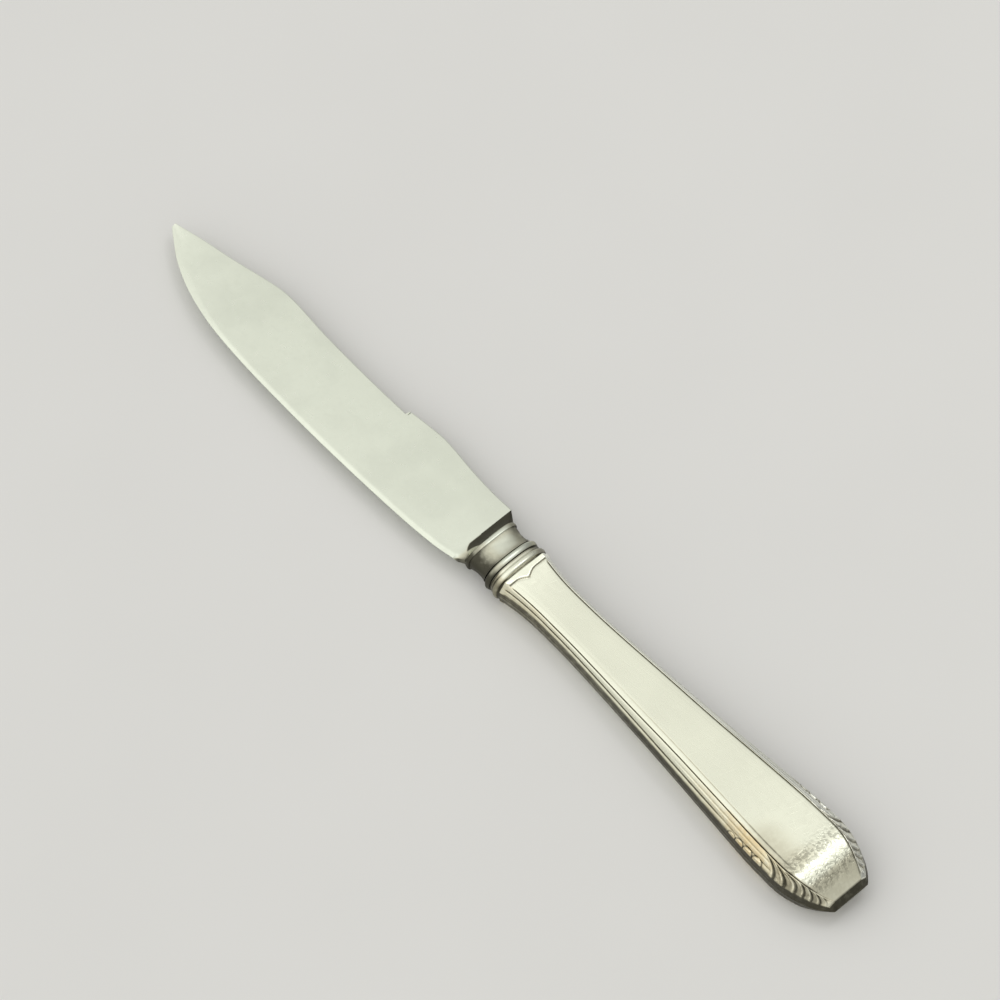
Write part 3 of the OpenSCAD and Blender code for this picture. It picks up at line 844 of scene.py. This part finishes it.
def panelled_rows(knife, s, upper, sign):
    """Rows over the panel, the side and the wall down to the seam: y, z, and tarnish with painted
    shade.
    """
    t, k = T_STEPS[None, :], K_STEPS[None, :]
    top_y, wall_z, panel_z = knife.top_y(s), knife.wall_z(s), knife.panel_z(s)
    low = low_share(t)
    share = groove_share(s)
    on_panel = t < GROOVE_SHARE
    side_y = top_y * np.where(low > 0, mix(share, 1, low), t / GROOVE_SHARE * share)
    # relief stands square to the panel, and over the side square to its slope
    run, fall = top_y * (1 - share), panel_z - wall_z
    slope_l = np.hypot(run, fall)
    lean = limit(low / 0.12)
    out_y, out_z = fall / slope_l * lean, mix(1, run / slope_l, lean)
    relief, tarnish = side_relief(knife, s, t, slope_l, sign)
    more, dim = panel_relief(knife, s, sign * side_y, upper)
    relief = relief + more * np.where(on_panel, 1, raised_side(s))
    out = relief * out_y
    lines = patches(k, WALL_LINES)
    wall_y = mix(top_y, knife.seam_y(s), k) + out[:, -1:] * (1 - k) ** 2
    wall_y = wall_y - WALL_LINE_D * lines * step(s, 5, 8)
    z = mix(panel_z, wall_z, low) + relief * out_z
    wall_z = np.maximum(0, z[:, -1:]) * (1 - k)
    # the side wall is painted dark, as painted shade with some tarnish, darker towards the butt,
    # and tarnish in its faint lines
    wall_tarnish = 0.7 + 0.16 * step(s, 30, 50) + 0.2 * lines
    return (
        np.concatenate([side_y + out, wall_y], 1),
        np.concatenate([z, wall_z], 1),
        np.concatenate([tarnish + dim * on_panel, wall_tarnish], 1),
    )


def collar_rows(knife, s):
    """Rows of the rounded collar, with its flank, bead and groove: y, z, and tarnish with painted
    shade.
    """
    flank = FLANK_DROP + FLANK_EDGE_DROP * limit(1 - s / FLANK_L)
    drop = np.where(s < COLLAR_BEAD_S, flank, COLLAR_GROOVE_DROP)
    ring = limit(np.abs((s - COLLAR_BEAD_S) / COLLAR_BEAD_HALF_L))
    drop = drop * (1 - np.sqrt(1 - ring**2))
    top_y = COLLAR_T_SHARE * T_STEPS
    top_z = oval(top_y, NECK_POWER)
    foot_z = top_z[-1] * (1 - K_STEPS)
    y = np.concatenate([top_y, oval(foot_z, NECK_POWER)])[None, :]
    z = np.concatenate([top_z, foot_z])[None, :]
    # painted shade: the collar is darker over its sides
    sides = 0.6 * step(T_STEPS, 0.5, 0.95)
    sides = np.concatenate([sides, np.full(len(K_STEPS), sides[-1])])[None, :]
    tarnish = patches(s, COLLAR_TARNISH) + sides
    return (knife.collar_w / 2 - drop) * y, (knife.collar_t / 2 - drop) * z, tarnish


def shell_half(knife, s, upper, sign):
    """Rows of the outer line on one side, from the panel's middle to the seam: y, z, and tarnish
    with painted shade.
    """
    s = s[:, None]
    # the collar's rounded sections turn into the panelled ones in the groove behind the bead
    body = step(s, COLLAR_END_S, COLLAR_END_S + 0.4)
    y, z, tarnish = (
        mix(rounded, panelled, body)
        for rounded, panelled in zip(collar_rows(knife, s), panelled_rows(knife, s, upper, sign))
    )
    tarnish = tarnish + 0.4 * bell(s - 2.55, 0.2) * body
    # the end wall is painted dark, as painted shade with tarnish
    return y, z, np.where(s > knife.stop_s + 0.05, END_SHADE_AND_TARNISH, tarnish)


def raised_side(s):
    """How far the raised border carries on over the reeds: it stops at the collar's end."""
    return step(s, 4.1, 3.2)


def shell_stations(knife):
    """Distances of the outer rows from the joint, close together over the collar and the lobes."""
    rows = spaced(
        (0, 3, 52), (3, 6, 32), (6, 71, 92), (71, knife.stop_s, 186),
        (knife.stop_s, knife.handle_l, 8),
    )
    # one more row closes the end wall
    return np.append(rows, knife.handle_l)


def make_lining(knife, name, s, half_n, side):
    """The plain inside of a shell, with as many rows and columns as its outside."""
    s = (s * knife.cavity_end_s / knife.handle_l)[:, None]
    ys, zs = np.array(CAVITY_SHARES).T
    along = np.concatenate([[0], np.cumsum(np.hypot(np.diff(ys), np.diff(zs)))])
    at = np.linspace(0, along[-1], half_n)
    quarter_y, quarter_z = np.interp(at, along, ys), np.interp(at, along, zs)
    y = knife.cavity_w(s) * np.concatenate([-quarter_y[:0:-1], quarter_y])
    z = knife.cavity_t(s) * np.concatenate([quarter_z[:0:-1], quarter_z])
    z[-1] = 0
    points = np.stack([knife.joint_x - s + 0 * y, y, knife.mid_z + side * z], -1)
    lining, numbers = points_grid(name, points)
    none = 0 * y
    keep_layers(
        lining, numbers,
        tarnish=none + LINING_TARNISH, pitting=none, yellowing=none, wiped=none,
    )
    return lining, numbers


def both_sides(left, right):
    """Rows over the whole top from rows over each side, which share the middle column."""
    return np.concatenate([left[:, :0:-1], right], 1)


def make_shell(scene, name, node, upper):
    """One stamped half of the handle: worked outside, plain inside, and the flat rim between."""
    knife = Knife(scene)
    s = shell_stations(knife)
    left_y, left_z, left_tarnish = shell_half(knife, s, upper, -1)
    right_y, right_z, right_tarnish = shell_half(knife, s, upper, 1)
    y, z = both_sides(-left_y, right_y), both_sides(left_z, right_z)
    z[-1] = 0
    side = 1 if upper else -1
    lining, lining_numbers = make_lining(knife, name + "_lining", s, left_y.shape[1], side)
    points = np.stack([knife.joint_x - s[:, None] + 0 * y, y, knife.mid_z + side * z], -1)
    piece, numbers = points_grid(name, points)
    # the cutting edge's side is yellowed, and the back's side gets a painted sheen
    t = np.concatenate([T_STEPS, np.ones(len(K_STEPS))])
    yellowed = yellowing(s, t)
    wiped = step(t, 0.74, 0.78) + 0 * yellowed
    keep_layers(
        piece, numbers,
        tarnish=both_sides(left_tarnish, right_tarnish),
        pitting=pitting(s)[:, None] + 0 * y,
        yellowing=both_sides(0 * yellowed, yellowed),
        wiped=both_sides(wiped, 0 * wiped),
    )
    lining_numbers = lining_numbers + len(piece.data.vertices)
    lining.select_set(True)
    bpy.ops.object.join()
    bridge_rims(piece, rim_of(numbers), rim_of(lining_numbers))
    close_and_smooth(piece, 38)
    hand_over(piece, handle_plate(scene.fish_knife_finishes), "plated_handle", node)
    return piece


def rim_of(numbers):
    """The numbers of a grid's vertices all round its rim, in order."""
    return [*numbers[0, :], *numbers[1:, -1], *numbers[-1, -2::-1], *numbers[-2:0:-1, 0]]


def bridge_rims(piece, rim, other):
    """Faces between two rims of as many vertices each."""
    mesh = bmesh.new()
    mesh.from_mesh(piece.data)
    mesh.verts.ensure_lookup_table()
    for i in range(len(rim)):
        a, b = rim[i - 1], rim[i]
        c, d = other[i], other[i - 1]
        mesh.faces.new([mesh.verts[n] for n in (a, b, c, d)])
    mesh.to_mesh(piece.data)
    mesh.free()


# Finishes
# Scratches: width in millimetres, how many times as long, turn in degrees and how rare
SCRATCHES = ((0.28, 34, 8, 0.66), (0.3, 22, -27, 0.68), (0.34, 16, 71, 0.69))
# Tarnish and painted shade come in between two amounts, and cover up to a share: first amber, then
# brown-grey
AMBER_FILM = (0.06, 0.4, 0, 0.5)
BROWN_FILM = (0.15, 0.95, 0, 0.94)


def feed(node, inputs):
    """Sets or links inputs of a node, by name or number."""
    for key, value in inputs.items():
        if isinstance(value, bpy.types.NodeSocket):
            node.id_data.links.new(value, node.inputs[key])
        else:
            node.inputs[key].default_value = value


def add_node(tree, kind, inputs=None, **settings):
    """Adds a node with its settings, and sets or links its inputs."""
    node = tree.nodes.new(kind)
    for name, value in settings.items():
        setattr(node, name, value)
    feed(node, inputs or {})
    return node


def new_material(name):
    """An empty material with a Principled shader on its output, and the shader."""
    material = bpy.data.materials.new(name)
    material.use_nodes = True
    tree = material.node_tree
    tree.nodes.clear()
    shader = add_node(tree, "ShaderNodeBsdfPrincipled")
    add_node(tree, "ShaderNodeOutputMaterial", {"Surface": shader.outputs["BSDF"]})
    return material, tree, shader


def per_mm(size):
    """The scale of a pattern whose features are this many millimetres across."""
    return 1 / (size * MM)


def darker(tone, share):
    """A colour with a share of its light."""
    return tuple(c * share for c in tone)


def ramp(tree, value, low, high, out_low=0.0, out_high=1.0):
    """Maps a value from one range to another, kept within it."""
    return add_node(tree, "ShaderNodeMapRange", {
        "Value": value, "From Min": low, "From Max": high, "To Min": out_low, "To Max": out_high,
    }, interpolation_type="SMOOTHSTEP").outputs["Result"]


def blend_colour(tree, factor, first, second):
    """One colour turning into another."""
    first, second = ((*c, 1.0) if isinstance(c, tuple) else c for c in (first, second))
    # a mix node's inputs 6 and 7 and its output 2 are colours
    mixer = add_node(tree, "ShaderNodeMix", {0: factor, 6: first, 7: second}, data_type="RGBA")
    return mixer.outputs[2]


def calculate(tree, operation, first, second=0.0):
    """The outcome of a sum on one or two values."""
    return add_node(tree, "ShaderNodeMath", {0: first, 1: second}, operation=operation).outputs[0]


def times(tree, first, second):
    """One value times another."""
    return calculate(tree, "MULTIPLY", first, second)


def cloud(tree, place, size, detail=3.0, roughness=0.5, stretch=(1, 1, 1), turn=0.0):
    """Noise with features of a size in millimetres, stretched and turned in the knife's plane."""
    mapped = add_node(tree, "ShaderNodeMapping", {
        "Vector": place, "Scale": stretch, "Rotation": (0, 0, math.radians(turn)),
    }, vector_type="TEXTURE").outputs["Vector"]
    return add_node(tree, "ShaderNodeTexNoise", {
        "Vector": mapped, "Scale": per_mm(size), "Detail": detail, "Roughness": roughness,
    }).outputs["Fac"]


def spots(tree, place, size, inner, outer, strength=1.0):
    """Round spots about a size in millimetres apart, which fade out between two shares of it."""
    cells = add_node(tree, "ShaderNodeTexVoronoi", {"Vector": place, "Scale": per_mm(size)})
    return ramp(tree, cells.outputs["Distance"], inner, outer, strength, 0.0)


def object_place(tree):
    """The place on the object, in metres."""
    return add_node(tree, "ShaderNodeTexCoord").outputs["Object"]


def kept(tree, name):
    """The amount that keep_layers kept under a name."""
    return add_node(tree, "ShaderNodeAttribute", attribute_name=name).outputs["Fac"]


def add_bump(tree, shader, height, strength, depth):
    """Dents the shader's surface by a height, over a depth in millimetres."""
    bump = add_node(tree, "ShaderNodeBump", {
        "Height": height, "Strength": strength, "Distance": depth * MM,
    })
    feed(shader, {"Normal": bump.outputs["Normal"]})


def hairlines(tree, place):
    """Scratches from wiping and from use, in three directions: one where a scratch is."""
    total = None
    for size, reach, turn, edge in SCRATCHES:
        noise = cloud(tree, place, size, 1.0, 0.4, (reach, 1, 1), turn)
        line = ramp(tree, noise, edge, edge + 0.07)
        total = line if total is None else calculate(tree, "MAXIMUM", total, line)
    return total


def lone_pits(tree, place, strength):
    """Single round pits, gathered in a few wide patches."""
    pit = spots(tree, place, 7.5, 0.016, 0.034, strength)
    return times(tree, pit, ramp(tree, cloud(tree, place, 16, 0.0), 0.55, 0.6))


def plate(tree, shader, clean, finishes, pits, mottle, roughness):
    """Silver plate worn to a satin: clouds, hairlines, pits, tarnish in what is sunk, painted
    shade, and a painted sheen on the back's side.
    """
    place = object_place(tree)
    # the kept layer holds tarnish and painted shade together
    tarnish = kept(tree, "tarnish")
    brown = tuple(finishes.tarnish)
    fine = cloud(tree, place, 1.3, 4.0, 0.6)
    scratch = hairlines(tree, place)
    pit = lone_pits(tree, place, pits)
    # pits are too fine to show at their real size, so they are drawn three times as coarse
    coarse = ramp(tree, cloud(tree, place, 0.75, 2.0, 0.6), 0.42, 0.62)
    pitted = times(tree, kept(tree, "pitting"), coarse)
    uneven = ramp(tree, fine, 0.35, 0.6, 0.5, 0.9)
    yellowed = times(tree, kept(tree, "yellowing"), uneven)
    patchy = times(tree, tarnish, ramp(tree, fine, 0.3, 0.62, 0.9, 1.08))
    dulled = darker(clean, 0.86)
    colour = clean
    for amount, tone in (
        (ramp(tree, cloud(tree, place, 9, 2.0), 0.35, 0.68, 0, mottle), dulled),
        (ramp(tree, fine, 0.5, 0.72, 0, mottle * 0.35), dulled),
        (kept(tree, "wiped"), tuple(finishes.wiped)),
        (yellowed, tuple(finishes.yellow)),
        (ramp(tree, patchy, *AMBER_FILM), tuple(finishes.amber)),
        (ramp(tree, patchy, *BROWN_FILM), brown),
        (pit, brown),
        (times(tree, pitted, 0.36), brown),
    ):
        colour = blend_colour(tree, amount, colour, tone)
    rough = ramp(tree, fine, 0.3, 0.7, roughness - 0.03, roughness + 0.05)
    for part, share in ((scratch, 0.08), (tarnish, 0.18)):
        rough = calculate(tree, "ADD", rough, times(tree, part, share))
    height = times(tree, cloud(tree, place, 0.35, 3.0, 0.6), 0.1)
    for part, depth in ((scratch, 0.8), (pit, 0.8), (pitted, 9.0)):
        height = calculate(tree, "SUBTRACT", height, times(tree, part, depth))
    add_bump(tree, shader, height, 0.35, 0.01)
    feed(shader, {"Base Color": colour, "Roughness": rough, "Metallic": 1.0})


def blade_plate(finishes):
    """Silver plate on the blade, polished and worn"""
    # Electroplated silver, buffed and wiped for years: an even satin, hairlines and a few pits
    material, tree, shader = new_material("silver_plate_worn_satin")
    plate(tree, shader, tuple(finishes.blade_plate), finishes, 0.85, 0.4, 0.3)
    return material


def handle_plate(finishes):
    """Silver plate on the stamped shells"""
    # Electroplated silver over stamped shells: brighter and warmer, brown in the grooves
    name = "silver_plate_on_stamped_shell"
    if name in bpy.data.materials:
        return bpy.data.materials[name]
    material, tree, shader = new_material(name)
    plate(tree, shader, tuple(finishes.handle_plate), finishes, 0.3, 0.2, 0.26)
    return material


def dull_solder(finishes):
    """Soft and hard solder"""
    # Tin-lead and silver solder, wiped while hot: dull grey metal with small ripples
    material, tree, shader = new_material("wiped_solder")
    ripple = cloud(tree, object_place(tree), 0.5, 3.0)
    base = tuple(finishes.solder)
    colour = blend_colour(tree, ramp(tree, ripple, 0.35, 0.7), base, darker(base, 0.55))
    rough = ramp(tree, ripple, 0.3, 0.7, 0.45, 0.65)
    add_bump(tree, shader, ripple, 0.5, 0.03)
    feed(shader, {"Base Color": colour, "Roughness": rough, "Metallic": 1.0})
    return material


def brick_cement(finishes):
    """Handle cement"""
    # Resin melted with brick dust and poured in hot: matt, with sandy grains and small bubbles
    material, tree, shader = new_material("resin_and_brick_dust_cement")
    place = object_place(tree)
    grain = cloud(tree, place, 0.4, 4.0, 0.7)
    hole = spots(tree, place, 1.1, 0.08, 0.2)
    base = tuple(finishes.cement)
    colour = blend_colour(tree, ramp(tree, grain, 0.3, 0.7), base, darker(base, 0.5))
    colour = blend_colour(tree, times(tree, hole, 0.6), colour, darker(base, 0.2))
    feed(shader, {"Base Color": colour, "Roughness": 0.9})
    add_bump(tree, shader, calculate(tree, "SUBTRACT", grain, hole), 0.7, 0.1)
    return material


def dress(node, material):
    """Gives a solid of the frame a better material."""
    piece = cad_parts[node]
    if not piece.material_slots:
        piece.data.materials.append(material)
    for slot in piece.material_slots:
        slot.material = material


# The stage
def plain_floor(finishes):
    """The floor's paint"""
    # Matt emulsion on board: even and pale, with a breath of unevenness
    material, tree, shader = new_material("matt_emulsion")
    base = tuple(finishes.floor)
    patch = ramp(tree, cloud(tree, object_place(tree), 60, 2.0), 0.3, 0.7)
    colour = blend_colour(tree, patch, base, darker(base, 0.985))
    feed(shader, {"Base Color": colour, "Roughness": 0.85})
    return material


def make_floor(scene):
    """A wide flat floor that the knife lies on."""
    bpy.ops.object.select_all(action="DESELECT")
    bpy.ops.mesh.primitive_plane_add(size=6, location=(0, 0, 0))
    floor = bpy.context.object
    floor.name = "floor"
    floor.data.materials.append(plain_floor(scene.fish_knife_finishes))


def make_camera(scene):
    """The camera of the photograph: a long lens over the butt and the cutting edge's side."""
    turn, tilt, distance = math.radians(48.095), math.radians(60.932), 1.209545
    target = Vector((9.11, -8.35, 4.45)) * MM
    right = Vector((-math.cos(turn), -math.sin(turn), 0))
    level = Vector((-math.sin(turn), math.cos(turn), 0))
    back = level * math.cos(tilt) + Vector((0, 0, math.sin(tilt)))
    up = back.cross(right)
    data = bpy.data.cameras.new("camera")
    data.lens = 216
    data.sensor_width = 36
    data.clip_start = 0.1
    data.clip_end = 50
    camera = bpy.data.objects.new("camera", data)
    scene.collection.objects.link(camera)
    turned = Matrix((right, up, back)).transposed().to_4x4()
    camera.matrix_world = Matrix.Translation(target + back * distance) @ turned
    scene.camera = camera


def make_lamp(scene):
    """A soft strip lamp high on the back's side, mirrored in the bend before the butt."""
    width, long, watts = 0.11, 0.3, 0.55
    data = bpy.data.lights.new("strip_lamp", "AREA")
    data.shape = "RECTANGLE"
    data.size, data.size_y, data.energy = width, long, watts
    lamp = bpy.data.objects.new("strip_lamp", data)
    lamp.location = (-0.06, -0.3445, 1.0)
    lamp.rotation_euler = (-lamp.location).to_track_quat("-Z", "Y").to_euler()
    scene.collection.objects.link(lamp)


def make_sky(scene):
    """Soft light that is brightest high on the cutting edge's side and dims away from there."""
    brightest = (0.3, 0.45, 0.84)
    world = bpy.data.worlds.new("studio")
    world.use_nodes = True
    tree = world.node_tree
    tree.nodes.clear()
    way = add_node(tree, "ShaderNodeTexCoord").outputs["Generated"]
    near = add_node(tree, "ShaderNodeVectorMath", {0: way, 1: brightest}, operation="DOT_PRODUCT")
    strength = add_node(tree, "ShaderNodeMapRange", {
        "Value": near.outputs["Value"],
        "From Min": 0.1, "From Max": 1.0, "To Min": 0.3, "To Max": 1.28,
    }).outputs["Result"]
    light = add_node(tree, "ShaderNodeBackground", {
        "Color": (1.0, 0.99, 0.97, 1.0), "Strength": strength,
    })
    add_node(tree, "ShaderNodeOutputWorld", {"Surface": light.outputs["Background"]})
    scene.world = world


class FISHKNIFE_OT_blade(bpy.types.Operator):
    """Add the forging: blade, bolster and tang"""

    bl_idname = "fish_knife.blade"
    bl_label = "Forged Blade"
    bl_options = {"REGISTER", "UNDO"}

    def execute(self, context):
        make_blade(context.scene)
        return {"FINISHED"}


class FISHKNIFE_OT_shells(bpy.types.Operator):
    """Add the two stamped shells of the handle"""

    bl_idname = "fish_knife.shells"
    bl_label = "Handle Shells"
    bl_options = {"REGISTER", "UNDO"}

    def execute(self, context):
        make_shell(context.scene, "stamped_upper_shell", "upper_handle_shell", True)
        make_shell(context.scene, "stamped_lower_shell", "lower_handle_shell", False)
        return {"FINISHED"}


class FISHKNIFE_OT_fillings(bpy.types.Operator):
    """Finish the solders and the cement inside the handle"""

    bl_idname = "fish_knife.fillings"
    bl_label = "Solder and Cement"
    bl_options = {"REGISTER", "UNDO"}

    def execute(self, context):
        finishes = context.scene.fish_knife_finishes
        solder = dull_solder(finishes)
        dress("joint_solder", solder)
        dress("seam_solder", solder)
        dress("handle_cement", brick_cement(finishes))
        return {"FINISHED"}


class FISHKNIFE_OT_stage(bpy.types.Operator):
    """Add the floor, the soft light and the camera"""

    bl_idname = "fish_knife.stage"
    bl_label = "Floor, Light and Camera"
    bl_options = {"REGISTER", "UNDO"}

    def execute(self, context):
        scene = context.scene
        scene.view_settings.view_transform = "Standard"
        make_floor(scene)
        make_sky(scene)
        make_lamp(scene)
        make_camera(scene)
        return {"FINISHED"}


OPERATORS = (FISHKNIFE_OT_blade, FISHKNIFE_OT_shells, FISHKNIFE_OT_fillings, FISHKNIFE_OT_stage)
GROUPS = {
    "fish_knife_blade": FishKnifeBladeSizes,
    "fish_knife_handle": FishKnifeHandleSizes,
    "fish_knife_finishes": FishKnifeFinishes,
}


class FISHKNIFE_PT_panel(bpy.types.Panel):
    """The knife's pieces, sizes and colours"""

    bl_idname = "FISHKNIFE_PT_panel"
    bl_label = "Fish Knife"
    bl_space_type = "VIEW_3D"
    bl_region_type = "UI"
    bl_category = "Fish Knife"

    def draw(self, context):
        for operator in OPERATORS:
            self.layout.operator(operator.bl_idname)
        for group, kind in GROUPS.items():
            box = self.layout.box()
            box.label(text=kind.__doc__)
            for name in kind.__annotations__:
                box.prop(getattr(context.scene, group), name)


CLASSES = (*GROUPS.values(), *OPERATORS, FISHKNIFE_PT_panel)


def register():
    for kind in CLASSES:
        bpy.utils.register_class(kind)
    for group, kind in GROUPS.items():
        setattr(bpy.types.Scene, group, bpy.props.PointerProperty(type=kind))


def unregister():
    for group in GROUPS:
        delattr(bpy.types.Scene, group)
    for kind in reversed(CLASSES):
        bpy.utils.unregister_class(kind)


def main():
    """Builds the knife and its stage."""
    register()
    bpy.ops.fish_knife.blade()
    bpy.ops.fish_knife.shells()
    bpy.ops.fish_knife.fillings()
    bpy.ops.fish_knife.stage()


if __name__ == "__main__":
    main()
